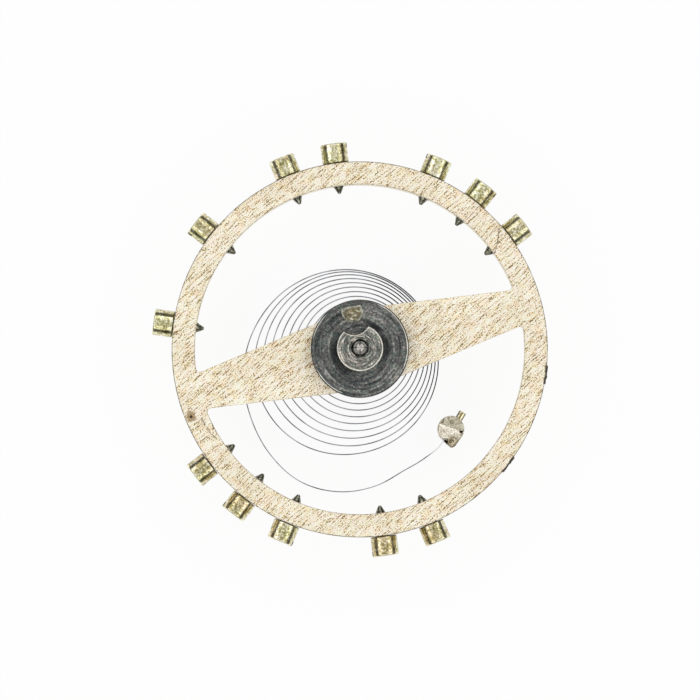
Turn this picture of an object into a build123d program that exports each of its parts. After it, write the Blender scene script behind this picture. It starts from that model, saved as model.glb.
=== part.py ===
"""Balance wheel of a wristwatch movement, complete with its staff, roller, hairspring and stud.

The axis of the balance staff is +Z, which points to the dial side, where the double roller is.
The origin is the tip of the staff's cock-side pivot, and +X runs along the arms. Lengths are mm.
"""

import math
import os

from build123d import *

# Fits
seat_clearance = 0.002
spring_clearance = 0.01
overrun = 0.2

# Rim and arms
rim_diameter = 9.2
rim_width = 0.565
rim_height = 0.7
rim_edge_chamfer = 0.03
arm_thickness = 0.3
arm_half_width_at_staff = 1.005
arm_half_width_at_rim = 0.44
arm_hub_round = 1.0
arm_rim_fillet = 0.1

# Balance screws, placed on every fifteenth degree from the first one
thread_diameter = 0.34
screw_head_diameter = 0.65
screw_head_length = 0.49
screw_tip_reach = 0.28
screw_slot_width = 0.11
screw_slot_depth = 0.13
first_screw_angle = 22.5
screw_step_angle = 15
screw_steps = (0, 1, 2, 4, 5, 7, 9, 12, 13, 14, 16, 17)
screw_slot_angles = (8, 164, 12, 171, 107, 15, 176, 6, 168, 11, 173, 4)
empty_hole_steps = (19, 21)

# Balance staff, from the cock-side pivot to the dial-side pivot
pivot_diameter = 0.1
pivot_length = 0.28
pivot_root_length = 0.12
cock_arbor_diameter = 0.42
cock_arbor_length = 0.22
collet_seat_diameter = 0.52
collet_seat_length = 0.44
rivet_diameter = 1.0
rivet_height = 0.09
rivet_groove_depth = 0.05
wheel_seat_diameter = 0.85
hub_diameter = 1.24
hub_height = 0.3
roller_seat_diameter = 0.42
dial_arbor_diameter = 0.3
dial_arbor_spread = 0.07
dial_arbor_length = 0.42

# Double roller and its impulse jewel
roller_gap = 0.05
table_diameter = 2.4
table_thickness = 0.22
roller_edge_chamfer = 0.03
neck_diameter = 0.62
neck_height = 0.24
safety_roller_diameter = 1.13
safety_roller_thickness = 0.26
bore_recess_diameter = 0.6
bore_recess_depth = 0.035
crescent_centre_radius = 0.72
crescent_radius = 0.385
roller_seat_setback = 0.06
roller_angle = 87.2
jewel_diameter = 0.43
jewel_edge_distance = 0.288
jewel_flat_offset = 0.08
jewel_reach = 0.4
jewel_tail = 0.04
jewel_edge_chamfer = 0.02
shellac_width = 0.055
shellac_height = 0.03

# Hairspring collet
collet_height = 0.36
collet_gap = 0.02
collet_inner_wall = 0.045
collet_outer_wall = 0.058
collet_slit_width = 0.05
collet_slit_angle = 135
collet_pin_setback = 0.03
collet_pin_proud = 0.08

# Hairspring strip and coils, with the outer coil's radius as a share of the rim's
strip_thickness = 0.026
strip_height = 0.12
strip_lead = 0.04
strip_end_setback = 0.02
pinning_offset = 0.045
coil_turns = 13
coil_first_turn = 0.5
coil_last_turn_left = 1.5
coil_first_gap = 0.023
coil_outer_share = 0.518
coil_end_angle = 210.2
coil_drift_share = 0.3
coil_drift_angle = 204.4
coil_drift_power = 2.5
tail_entry_turn = 0.28

# Bends by hand in the outer turns: turns past the last full one, and the share of the way to the stud
tail_shares = (
    (-1.4, -0.012),
    (-1.26, -0.05),
    (-1.12, 0.015),
    (-0.98, 0.07),
    (-0.84, 0.01),
    (-0.69, 0.005),
    (-0.54, 0.005),
    (-0.41, -0.04),
    (-0.29, -0.09),
    (-0.19, -0.04),
    (-0.11, 0.11),
    (-0.04, 0.32),
    (0.02, 0.64),
    (0.07, 0.92),
    (0.12, 1.01),
    (0.17, 0.95),
    (0.209, 0.84),
    (0.24, 0.905),
)

# Hairspring stud: a round block with a narrower end, on a post, placed at a share of the rim's radius
stud_place_share = 0.6446
stud_place_angle = -55.8
stud_hole_angle = 43.9
stud_hole_offset = 0.035
stud_diameter = 0.66
stud_tip_diameter = 0.21
stud_tip_distance = 0.345
stud_tip_angle = -143.6
stud_block_length = 0.58
stud_post_diameter = 0.5
stud_post_length = 0.62
stud_end_cover = 0.18
stud_step_offset = 0.05
stud_step_depth = 0.06
stud_edge_chamfer = 0.04
stud_narrowing = 0.02
stud_pin_proud = 0.18
stud_pin_end_setback = 0.06

# Places worked out from the sizes above
rim_radius = rim_diameter / 2
rim_inner_radius = rim_radius - rim_width
collet_seat_bottom = pivot_length + pivot_root_length + cock_arbor_length
rivet_bottom = collet_seat_bottom + collet_seat_length
arm_bottom = rivet_bottom + rivet_height
arm_top = arm_bottom + arm_thickness
rim_bottom = arm_top - rim_height
screw_level = rim_bottom + rim_height / 2
hub_top = arm_top + hub_height
jewel_centre_radius = table_diameter / 2 - jewel_edge_distance
table_bottom = hub_top + roller_gap
table_top = table_bottom + table_thickness
safety_bottom = table_top + neck_height
roller_top = safety_bottom + safety_roller_thickness
roller_seat_top = roller_top - roller_seat_setback
dial_arbor_top = roller_seat_top + dial_arbor_length
collet_bottom = rivet_bottom - collet_gap - collet_height
spring_level = collet_bottom + collet_height / 2
pin_hole_radius = math.hypot(strip_height / 2, pinning_offset + strip_thickness / 2) + spring_clearance
pin_flat_offset = pinning_offset - strip_thickness / 2 - spring_clearance
collet_hole_distance = collet_seat_diameter / 2 + collet_inner_wall + pin_hole_radius
collet_diameter = 2 * (collet_hole_distance + pin_hole_radius + collet_outer_wall)
pinned_distance = collet_hole_distance + pinning_offset
pinned_half_chord = math.sqrt((collet_diameter / 2) ** 2 - pinned_distance**2)
coil_inner_radius = collet_diameter / 2 + coil_first_gap
coil_spread = rim_radius * coil_outer_share - coil_inner_radius
coil_pitch = coil_spread / coil_turns
coil_drift = coil_spread * coil_drift_share
stud_place_radius = rim_radius * stud_place_share
stud_block_top = spring_level + stud_end_cover
stud_block_bottom = stud_block_top - stud_block_length
stud_flat_lean = math.acos((stud_diameter - stud_tip_diameter) / 2 / stud_tip_distance)
stud_flat_angle = math.radians(stud_tip_angle) - stud_flat_lean
stud_flat_reach = stud_diameter / 2 + stud_hole_offset * math.sin(stud_flat_angle)
stud_mouth = stud_flat_reach / math.cos(stud_flat_angle)
roller_plane = Plane.XY.rotated((0, 0, roller_angle))


def polar(radius, angle):
    """Point at a radius and an angle about the staff, at the level of the hairspring."""
    turned = math.radians(angle)
    return Vector(radius * math.cos(turned), radius * math.sin(turned), spring_level)


def way(angle):
    """Unit direction at an angle in the plane of the hairspring."""
    turned = math.radians(angle)
    return Vector(math.cos(turned), math.sin(turned), 0)


def screw_plane(step):
    """Plane at a screw's seat on the rim, with its normal pointing away from the staff."""
    angle = first_screw_angle + screw_step_angle * step
    seat = Vector(0, 0, screw_level) + way(angle) * rim_radius
    return Plane(origin=seat, x_dir=way(angle + 90), z_dir=way(angle))


def pinning_plane(centre, angle, side):
    """Plane across a pin hole: the normal runs along the hole, x points to the strip's side."""
    return Plane(origin=centre, x_dir=way(angle + 90 * side), z_dir=way(angle))


# The coil starts half a turn out, so the collet is turned until its hole points at that place
collet_angle = coil_end_angle - 360 * (coil_turns - coil_first_turn)
collet_hole_centre = Vector(0, 0, spring_level) + way(collet_angle - 90) * collet_hole_distance
collet_pin_plane = pinning_plane(collet_hole_centre, collet_angle, -1)
stud_centre = polar(stud_place_radius, stud_place_angle)
stud_hole_centre = stud_centre - way(stud_hole_angle + 90) * stud_hole_offset
stud_pin_plane = pinning_plane(stud_hole_centre, stud_hole_angle, 1)
stud_plane = Plane(origin=stud_centre, x_dir=way(stud_hole_angle), z_dir=(0, 0, 1))


def make_balance_wheel():
    """Rim and two tapered arms in one piece, with fourteen tapped holes for the balance screws."""
    with BuildPart() as balance_wheel:
        with BuildSketch(Plane.XY.offset(arm_bottom)) as arms:
            with BuildLine():
                Polyline(
                    (-rim_inner_radius, -arm_half_width_at_rim),
                    (0, -arm_half_width_at_staff),
                    (rim_inner_radius, -arm_half_width_at_rim),
                    (rim_inner_radius, arm_half_width_at_rim),
                    (0, arm_half_width_at_staff),
                    (-rim_inner_radius, arm_half_width_at_rim),
                    close=True,
                )
            make_face()
            with BuildSketch(mode=Mode.PRIVATE) as ring:
                Circle(rim_radius)
                Circle(rim_inner_radius, mode=Mode.SUBTRACT)
            add(ring.sketch)
            fillet(arms.vertices().group_by(SortBy.DISTANCE)[0], arm_hub_round)
            fillet(arms.vertices().group_by(SortBy.DISTANCE)[-2], arm_rim_fillet)
            Circle(wheel_seat_diameter / 2 + seat_clearance, mode=Mode.SUBTRACT)
        extrude(amount=arm_thickness)
        with BuildSketch(Plane.XY.offset(rim_bottom)):
            Circle(rim_radius)
            Circle(rim_inner_radius, mode=Mode.SUBTRACT)
        extrude(amount=rim_height - arm_thickness)
        rim_edges = balance_wheel.edges().filter_by(GeomType.CIRCLE).group_by(SortBy.RADIUS)[-1]
        chamfer(rim_edges, rim_edge_chamfer)
        with BuildSketch(*[screw_plane(step) for step in screw_steps + empty_hole_steps]):
            Circle(thread_diameter / 2 + seat_clearance)
        extrude(amount=-rim_width - overrun, mode=Mode.SUBTRACT)
    balance_wheel.part.label = "balance_wheel"
    return balance_wheel


def make_balance_screw():
    """One balance screw about +Z, with its head's seat at the origin and its point below."""
    thread_radius = thread_diameter / 2
    head_radius = screw_head_diameter / 2
    with BuildPart() as balance_screw:
        with BuildSketch(Plane.XZ):
            with BuildLine():
                Polyline(
                    (0, -rim_width - screw_tip_reach),
                    (thread_radius, -rim_width),
                    (thread_radius, 0),
                    (head_radius, 0),
                    (head_radius, screw_head_length),
                    (0, screw_head_length),
                    close=True,
                )
            make_face()
        revolve(axis=Axis.Z)
        with BuildSketch(Plane.XY.offset(screw_head_length)):
            Rectangle(screw_head_diameter + overrun, screw_slot_width)
        extrude(amount=-screw_slot_depth, mode=Mode.SUBTRACT)
    return balance_screw


def make_balance_staff():
    """Turned steel staff: pivots, collet seat, rivet, wheel seat, hub and roller seat."""
    pivot_radius = pivot_diameter / 2
    cock_arbor_radius = cock_arbor_diameter / 2
    collet_seat_radius = collet_seat_diameter / 2
    rivet_radius = rivet_diameter / 2
    wheel_seat_radius = wheel_seat_diameter / 2
    hub_radius = hub_diameter / 2
    roller_seat_radius = roller_seat_diameter / 2
    dial_arbor_radius = dial_arbor_diameter / 2
    dial_arbor_foot = dial_arbor_radius + dial_arbor_spread / 2
    groove_radius = (collet_seat_radius + wheel_seat_radius) / 2
    cock_root = pivot_length + pivot_root_length
    dial_root = dial_arbor_top + pivot_root_length
    staff_top = dial_root + pivot_length
    with BuildPart() as balance_staff:
        with BuildSketch(Plane.XZ):
            with BuildLine():
                Polyline(
                    (0, 0),
                    (pivot_radius, 0),
                    (pivot_radius, pivot_length),
                    (cock_arbor_radius, cock_root),
                    (cock_arbor_radius, collet_seat_bottom),
                    (collet_seat_radius, collet_seat_bottom),
                    (collet_seat_radius, rivet_bottom + rivet_groove_depth),
                    (groove_radius, rivet_bottom),
                    (wheel_seat_radius, rivet_bottom),
                    (rivet_radius, arm_bottom - seat_clearance),
                    (wheel_seat_radius, arm_bottom - seat_clearance),
                    (wheel_seat_radius, arm_top + seat_clearance),
                    (hub_radius, arm_top + seat_clearance),
                    (hub_radius, hub_top),
                    (roller_seat_radius, hub_top),
                    (roller_seat_radius, roller_seat_top),
                    (dial_arbor_foot, roller_seat_top),
                    (dial_arbor_radius, dial_arbor_top),
                    (pivot_radius, dial_root),
                    (pivot_radius, staff_top),
                    (0, staff_top),
                    close=True,
                )
            make_face()
        revolve(axis=Axis.Z)
    balance_staff.part.label = "balance_staff"
    return balance_staff


def draw_jewel(margin):
    """D outline of the impulse jewel, grown by a margin, with its flat away from the staff."""
    radius = jewel_diameter / 2 + margin
    flat = jewel_flat_offset + margin
    with Locations((jewel_centre_radius, 0)):
        Circle(radius)
    with Locations((jewel_centre_radius + flat + radius, 0)):
        Rectangle(2 * radius, 2 * radius, mode=Mode.SUBTRACT)


def make_double_roller():
    """Table roller, neck and safety roller in one piece, with the jewel's hole and the crescent."""
    with BuildPart() as double_roller:
        with BuildSketch(roller_plane.offset(table_bottom)):
            Circle(table_diameter / 2)
        extrude(amount=table_thickness)
        chamfer(double_roller.edges().sort_by(Axis.Z)[-1], roller_edge_chamfer)
        with BuildSketch(roller_plane.offset(table_top)):
            Circle(neck_diameter / 2)
        extrude(amount=neck_height)
        with BuildSketch(roller_plane.offset(safety_bottom)):
            Circle(safety_roller_diameter / 2)
            with Locations((crescent_centre_radius, 0)):
                Circle(crescent_radius, mode=Mode.SUBTRACT)
        extrude(amount=safety_roller_thickness)
        chamfer(double_roller.faces().sort_by(Axis.Z)[-1].edges(), roller_edge_chamfer)
        with BuildSketch(roller_plane.offset(roller_top)):
            Circle(bore_recess_diameter / 2)
        extrude(amount=-bore_recess_depth, mode=Mode.SUBTRACT)
        with BuildSketch(roller_plane.offset(table_bottom)):
            Circle(roller_seat_diameter / 2 + seat_clearance)
        extrude(amount=roller_top - table_bottom, mode=Mode.SUBTRACT)
        with BuildSketch(roller_plane.offset(table_bottom)):
            draw_jewel(seat_clearance)
        extrude(amount=table_thickness, mode=Mode.SUBTRACT)
    double_roller.part.label = "double_roller"
    return double_roller


def make_impulse_jewel():
    """D-shaped jewel pin that stands up from the table roller."""
    with BuildPart() as impulse_jewel:
        with BuildSketch(roller_plane.offset(table_bottom - jewel_tail)):
            draw_jewel(0)
        extrude(amount=jewel_tail + table_thickness + jewel_reach)
        chamfer(impulse_jewel.faces().sort_by(Axis.Z)[-1].edges(), jewel_edge_chamfer)
    impulse_jewel.part.label = "impulse_jewel"
    return impulse_jewel


def make_jewel_shellac():
    """Bead of shellac round the foot of the jewel, sloping down to the table."""
    slope = math.degrees(math.atan2(shellac_width / 2, shellac_height))
    with BuildPart() as jewel_shellac:
        with BuildSketch(roller_plane.offset(table_top)):
            draw_jewel(shellac_width)
        extrude(amount=shellac_height, taper=slope)
        with BuildSketch(roller_plane.offset(table_top)):
            draw_jewel(seat_clearance)
        extrude(amount=shellac_height, mode=Mode.SUBTRACT)
    jewel_shellac.part.label = "jewel_shellac"
    return jewel_shellac


def make_hairspring_collet():
    """Split ring on the staff, bored across for the inner end of the hairspring and its pin."""
    with BuildPart() as hairspring_collet:
        with BuildSketch(Plane.XY.offset(collet_bottom)):
            Circle(collet_diameter / 2)
            Circle(collet_seat_diameter / 2 + seat_clearance, mode=Mode.SUBTRACT)
        extrude(amount=collet_height)
        with BuildSketch(Plane.XY.offset(collet_bottom).rotated((0, 0, collet_angle + collet_slit_angle))):
            with Locations((collet_diameter / 2, 0)):
                Rectangle(collet_diameter, collet_slit_width)
        extrude(amount=collet_height, mode=Mode.SUBTRACT)
        with BuildSketch(collet_pin_plane):
            Circle(pin_hole_radius)
        extrude(amount=collet_diameter, both=True, mode=Mode.SUBTRACT)
    hairspring_collet.part.label = "hairspring_collet"
    return hairspring_collet


def make_pin(plane, first, last, flat_first, flat_last):
    """Round pin along a hole, with a flat along the stretch where it presses on the strip."""
    pin_radius = pin_hole_radius - seat_clearance
    with BuildPart() as pin:
        with BuildSketch(plane.offset(first)):
            Circle(pin_radius)
        extrude(amount=last - first)
        with BuildSketch(plane.offset(flat_first)):
            with Locations((pin_flat_offset + pin_radius, 0)):
                Rectangle(2 * pin_radius, 2 * pin_radius)
        extrude(amount=flat_last - flat_first, mode=Mode.SUBTRACT)
    return pin


def make_collet_pin():
    """Pin that holds the hairspring's inner end in the collet."""
    wall = math.sqrt((collet_diameter / 2) ** 2 - collet_hole_distance**2)
    last = wall - collet_pin_setback
    collet_pin = make_pin(collet_pin_plane, -wall - collet_pin_proud, last, -pinned_half_chord, last)
    collet_pin.part.label = "collet_pin"
    return collet_pin


def make_stud_pin():
    """Pin that holds the hairspring's outer end in the stud and stands out of its far side."""
    first = stud_mouth + stud_pin_end_setback
    far_side = stud_diameter / 2
    stud_pin = make_pin(stud_pin_plane, first, far_side + stud_pin_proud, first, far_side)
    stud_pin.part.label = "stud_pin"
    return stud_pin


def make_hairspring_stud():
    """Stud: round post for the balance cock, and a tapered block with a step and the pin hole."""
    with BuildPart() as hairspring_stud:
        for level, margin in ((stud_block_bottom, 0), (stud_block_top, stud_narrowing)):
            with BuildSketch(stud_plane.offset(level - spring_level)):
                Circle(stud_diameter / 2 - margin)
                with PolarLocations(stud_tip_distance, 1, stud_tip_angle):
                    Circle(stud_tip_diameter / 2 - margin)
                make_hull()
        loft(ruled=True)
        chamfer(hairspring_stud.faces().sort_by(Axis.Z)[-1].edges(), stud_edge_chamfer)
        with BuildSketch(stud_plane.offset(stud_block_top - spring_level)):
            with Locations((stud_step_offset + stud_diameter, 0)):
                Rectangle(2 * stud_diameter, 2 * stud_diameter)
        extrude(amount=-stud_step_depth, mode=Mode.SUBTRACT)
        with BuildSketch(stud_plane.offset(stud_block_bottom - spring_level)):
            Circle(stud_post_diameter / 2)
        extrude(amount=-stud_post_length)
        chamfer(hairspring_stud.faces().sort_by(Axis.Z)[0].edges(), stud_edge_chamfer)
        with BuildSketch(stud_pin_plane):
            Circle(pin_hole_radius)
        extrude(amount=stud_diameter, both=True, mode=Mode.SUBTRACT)
    hairspring_stud.part.label = "hairspring_stud"
    return hairspring_stud


def coil_angle(turn):
    """Angle of the coil after a number of turns from the collet."""
    return coil_end_angle + 360 * (turn - coil_turns)


def coil_point(turn):
    """Point of the coil: a steady spiral whose centre drifts more and more towards one side."""
    drift = coil_drift * (turn / coil_turns) ** coil_drift_power
    return polar(coil_inner_radius + coil_pitch * turn, coil_angle(turn)) + way(coil_drift_angle) * drift


def coil_way(turn):
    """Unit direction of the coil at a turn, pointing outwards along the strip."""
    drift_rate = coil_drift * coil_drift_power / coil_turns * (turn / coil_turns) ** (coil_drift_power - 1)
    outwards = way(coil_angle(turn)) * coil_pitch
    around = way(coil_angle(turn) + 90) * (coil_inner_radius + coil_pitch * turn) * 2 * math.pi
    return (outwards + around + way(coil_drift_angle) * drift_rate).normalized()


def way_through(before, here, after):
    """Unit direction at a point of the circle through it and its two neighbours."""
    back = here - before
    ahead = after - here
    return (back * ahead.length**2 + ahead * back.length**2).normalized()


def draw_biarc(start, start_way, end, end_way):
    """Two arcs that meet smoothly, from start along its direction to end along its direction."""
    span = end - start
    both_ways = start_way + end_way
    spread = 2 * (1 - start_way.dot(end_way))
    reach = (math.sqrt(span.dot(both_ways) ** 2 + spread * span.dot(span)) - span.dot(both_ways)) / spread
    middle = (start + end + (start_way - end_way) * reach) / 2
    first_arc = TangentArc(start, middle, tangent=start_way)
    TangentArc(middle, end, tangent=first_arc % 1)


def hairspring_nodes():
    """Places and directions along the strip: pinned end, half turns, tail, and stud."""
    pinned_at = Vector(0, 0, spring_level) + way(collet_angle - 90) * pinned_distance
    leaves_at = pinned_at + way(collet_angle) * (pinned_half_chord + strip_lead)
    inner_end = pinned_at - way(collet_angle) * (pinned_half_chord - strip_end_setback)
    halves = round(2 * (coil_turns - coil_last_turn_left - coil_first_turn))
    turns = [coil_first_turn + half / 2 for half in range(halves + 1)]
    nodes = [(leaves_at, way(collet_angle))]
    nodes += [(coil_point(turn), coil_way(turn)) for turn in turns]

    pinned_in_stud = stud_hole_centre + way(stud_hole_angle + 90) * pinning_offset
    enters_at = pinned_in_stud + way(stud_hole_angle) * (stud_mouth - strip_lead)
    outer_end = pinned_in_stud + way(stud_hole_angle) * (stud_diameter / 2 - strip_end_setback)
    level = Vector(0, 0, spring_level)
    tail_lift = (enters_at - level).length - (coil_point(coil_turns + tail_entry_turn) - level).length
    tail = [coil_point(coil_turns + turn) + way(coil_angle(coil_turns + turn)) * share * tail_lift
            for turn, share in tail_shares]
    tail_route = [nodes[-1][0]] + tail + [enters_at]
    for before, here, after in zip(tail_route, tail_route[1:], tail_route[2:]):
        nodes.append((here, way_through(before, here, after)))
    nodes.append((enters_at, way(stud_hole_angle)))
    return inner_end, nodes, outer_end


def print_least_gap(path):
    """Print the strip's length and its least gap to the next coil, measured on points."""
    samples_per_turn = 60
    samples = samples_per_turn * (coil_turns + 1)
    points = [tuple(path.position_at(index / samples)) for index in range(samples + 1)]
    strip_length = path.length
    apart = [
        math.dist(points[low], points[high])
        for low in range(samples)
        for high in range(low + 1, samples + 1)
        if strip_length * (high - low) / samples > 2 * collet_diameter
    ]
    print(f"hairspring length {strip_length:.2f} mm, least gap {min(apart) - strip_thickness:.4f} mm")


def make_hairspring():
    """Flat steel strip, coiled in one plane from the collet to the stud."""
    inner_end, nodes, outer_end = hairspring_nodes()
    with BuildPart() as hairspring:
        with BuildLine() as path:
            Line(inner_end, nodes[0][0])
            for (start, start_way), (end, end_way) in zip(nodes, nodes[1:]):
                draw_biarc(start, start_way, end, end_way)
            Line(nodes[-1][0], outer_end)
        with BuildSketch(Plane(origin=inner_end, x_dir=way(collet_angle - 90), z_dir=way(collet_angle))):
            Rectangle(strip_thickness, strip_height)
        sweep(path=path.wire())
    print_least_gap(path.wire())
    hairspring.part.label = "hairspring"
    return hairspring


os.makedirs("parts", exist_ok=True)

pieces = [
    make_balance_wheel(),
    make_balance_staff(),
    make_double_roller(),
    make_impulse_jewel(),
    make_jewel_shellac(),
    make_hairspring_collet(),
    make_collet_pin(),
    make_hairspring(),
    make_hairspring_stud(),
    make_stud_pin(),
]
for piece in pieces:
    export_step(piece.part, f"parts/{piece.part.label}.step")

balance_screw = make_balance_screw()
for number, (step, slot_angle) in enumerate(zip(screw_steps, screw_slot_angles), start=1):
    turned_seat = screw_plane(step).location * Rotation(0, 0, slot_angle)
    placed = balance_screw.part.moved(turned_seat)
    placed.label = f"balance_screw_{number:02d}"
    export_step(placed, f"parts/{placed.label}.step")
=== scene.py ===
"""Balance wheel of a wristwatch movement, dressed with fine pieces and materials.

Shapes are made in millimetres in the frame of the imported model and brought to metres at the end.
Named angles are in degrees, counted from +X towards +Y, where no comment says otherwise.
+Z is the axis of the staff, which points to the dial side and to the camera; +X runs along the arms.
"""

import math

import bpy
import numpy as np
from mathutils import Matrix, Vector, noise


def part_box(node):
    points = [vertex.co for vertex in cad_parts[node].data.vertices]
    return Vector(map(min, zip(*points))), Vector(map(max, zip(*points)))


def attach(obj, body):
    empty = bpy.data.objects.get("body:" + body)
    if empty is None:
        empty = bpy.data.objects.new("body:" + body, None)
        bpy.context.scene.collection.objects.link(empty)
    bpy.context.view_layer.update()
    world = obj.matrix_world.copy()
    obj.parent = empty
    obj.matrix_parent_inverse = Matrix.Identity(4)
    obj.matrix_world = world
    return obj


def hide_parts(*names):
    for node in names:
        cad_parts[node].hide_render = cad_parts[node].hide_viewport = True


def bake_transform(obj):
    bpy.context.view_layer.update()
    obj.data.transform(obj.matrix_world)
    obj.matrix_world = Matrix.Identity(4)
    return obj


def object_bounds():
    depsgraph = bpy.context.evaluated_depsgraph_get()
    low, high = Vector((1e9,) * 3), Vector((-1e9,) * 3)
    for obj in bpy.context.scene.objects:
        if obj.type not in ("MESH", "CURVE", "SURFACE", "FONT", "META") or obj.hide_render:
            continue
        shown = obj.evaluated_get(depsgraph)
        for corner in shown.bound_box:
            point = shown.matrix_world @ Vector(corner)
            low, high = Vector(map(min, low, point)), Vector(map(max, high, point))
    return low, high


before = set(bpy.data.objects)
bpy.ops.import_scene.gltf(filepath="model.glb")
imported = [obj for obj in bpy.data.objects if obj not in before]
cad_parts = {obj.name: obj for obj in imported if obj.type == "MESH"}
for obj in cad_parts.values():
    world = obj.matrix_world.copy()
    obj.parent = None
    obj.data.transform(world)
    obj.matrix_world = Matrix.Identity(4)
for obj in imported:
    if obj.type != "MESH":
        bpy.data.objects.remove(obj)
cad_low, cad_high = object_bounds()

MM = 0.001
UP = Vector((0, 0, 1))


def node_box(node):
    """Lowest and highest corner of a CAD node, in millimetres."""
    low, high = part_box(node)
    return low / MM, high / MM


wheel_low, wheel_high = node_box("balance_wheel")
staff_high = node_box("balance_staff")[1]
roller_low, roller_high = node_box("double_roller")
jewel_low, jewel_high = node_box("impulse_jewel")
collet_low, collet_high = node_box("hairspring_collet")
spring_low, spring_high = node_box("hairspring")
stud_low, stud_high = node_box("hairspring_stud")

# Rim and arms
rim_radius = wheel_high.x
rim_width = 0.565
rim_inner_radius = rim_radius - rim_width
rim_edge = 0.022
arm_thickness = 0.3
arm_half_width_at_staff = 1.005
arm_half_width_at_rim = 0.44
arm_middle_reach = 0.06
arm_middle_drop = 0.012
arm_edge = 0.015
arm_rim_fillet = 0.1
arm_overlap = 0.2
screw_level = (wheel_low.z + wheel_high.z) / 2

# Balance screws and the rim's tapped holes
thread_radius = 0.17
thread_depth = 0.022
thread_pitch = 0.07
screw_head_radius = 0.325
screw_head_length = 0.49
screw_tip_reach = 0.19
screw_tip_radius = 0.03
screw_edge = 0.022
screw_rounding = 0.012
screw_seat_groove = 0.02
screw_seat_margin = 0.03
screw_slot_width = 0.11
screw_slot_depth = 0.13
first_screw_angle = 22.5
screw_step_angle = 15
screw_steps = (0, 1, 2, 4, 5, 7, 9, 12, 13, 14, 16, 17)
screw_slot_angles = (8, 164, 12, 171, 107, 15, 176, 6, 168, 11, 173, 4)
empty_hole_steps = (19, 21)
hole_countersink = 0.035
burr_radius = 0.205
burr_reach = 0.036

# Staff, from the cock side to the dial side
pivot_radius = 0.05
cock_arbor_radius = 0.21
collet_seat_radius = 0.26
rivet_radius = 0.5
rivet_height = 0.09
rivet_lead = 0.05
wheel_seat_radius = 0.425
hub_radius = 0.62
roller_seat_radius = 0.21
dial_arbor_foot = 0.185
dial_arbor_radius = 0.15
pivot_length = 0.28
pivot_root = 0.12
pivot_root_bend = 0.65
pivot_flare = 0.035
cock_arbor_length = 0.22
hub_height = 0.3
hub_overlap = 0.02
dial_arbor_length = 0.42
staff_edge = 0.012

# Double roller and impulse jewel
table_radius = 1.2
table_thickness = 0.22
table_chamfer = 0.01
neck_radius = 0.31
neck_overlap = 0.02
safety_radius = 0.565
safety_thickness = 0.26
crescent_distance = 0.72
crescent_radius = 0.385
recess_radius = 0.3
recess_depth = 0.035
recess_mouth = 0.015
oil_ring_radius = 0.252
roller_edge = 0.03
roller_angle = 87.2
# direction of the dirt and painted shade beside the safety roller
dirt_and_shade_angle = 15
# painted highlight arcs along the table's edge: direction, cosines where an arc begins and is full, strength
table_line_arcs = ((6, 0.66, 0.8, 1.0), (213, 0.92, 0.97, 0.9), (137, 0.95, 0.985, 0.6))
jewel_radius = 0.215
jewel_distance = 0.912
jewel_flat = 0.08
jewel_edge = 0.02
shellac_width = 0.042
shellac_rise = 0.05
shellac_gap = 0.0005
shellac_margin = 0.002

# Collet and its pin
collet_radius = 0.5498
collet_slit = 0.05
collet_slit_angle = 135
collet_inner_wall = 0.045
collet_edge = 0.03
collet_pin_setback = 0.03
collet_pin_proud = 0.08

# Hairspring strip
strip_thickness = 0.026
strip_step = 0.03
strip_lead = 0.04
strip_setback = 0.02
pinning_offset = 0.045
pin_clearance = 0.002
strip_clearance = 0.01
coil_turns = 13
coil_first_turn = 0.5
coil_last_turn_left = 1.5
coil_first_gap = 0.023
coil_outer_radius = 2.3828
coil_end_angle = 210.2
coil_drift_share = 0.3
coil_drift_angle = 204.4
coil_drift_power = 2.5
coil_samples_per_turn = 120
pinned_samples = 30
tail_entry_turn = 0.28
# bends by hand in the outer turns: turns past the last full one, and the share of the way to the stud
tail_shares = (
    (-1.4, -0.012), (-1.26, -0.05), (-1.12, 0.015), (-0.98, 0.07), (-0.84, 0.01), (-0.69, 0.005),
    (-0.54, 0.005), (-0.41, -0.04), (-0.29, -0.09), (-0.19, -0.04), (-0.11, 0.11), (-0.04, 0.32),
    (0.02, 0.64), (0.07, 0.92), (0.12, 1.01), (0.17, 0.95), (0.209, 0.84), (0.24, 0.905),
)

# Hairspring stud and its pin
stud_place_radius = 2.9652
stud_place_angle = -55.8
stud_hole_angle = 43.9
stud_hole_offset = 0.035
stud_radius = 0.33
stud_tip_radius = 0.105
stud_tip_distance = 0.345
stud_tip_angle = -143.6
stud_block_length = 0.58
stud_post_radius = 0.25
stud_post_overlap = 0.02
stud_step_offset = 0.05
stud_step_depth = 0.06
stud_step_turn = 13
stud_edge = 0.05
stud_voxel = 0.011
stud_roughness = 0.045
stud_notch_width = 0.14
stud_notch_depth = 0.075
stud_chip_place = (1.86, -2.55)
stud_chip_angle = -38.4
stud_chip_width = 0.045
stud_chip_depth = 0.2
stud_pin_proud = 0.18
stud_pin_setback = 0.06
pin_edge = 0.012

# Camera, floor and light
photo_turn = 14.8
photo_size = 700
photo_pixels_per_mm = 40.89
photo_wheel_centre = (359.72, 349.23)
camera_lens = 420
sensor_width = 36
camera_tilt_down = 1.6
camera_tilt_side = 0.38
floor_radius = 13
floor_gap = 0.002
backdrop_radius = 400
light_strength = 1.5
# degrees from straight up, and brightness there as a share of the ring's
light_levels = (
    (0, 0.54), (30, 0.54), (38, 1.0), (57, 1.0), (66, 0.105), (92, 0.105), (100, 0.47), (180, 0.47),
)

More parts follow.
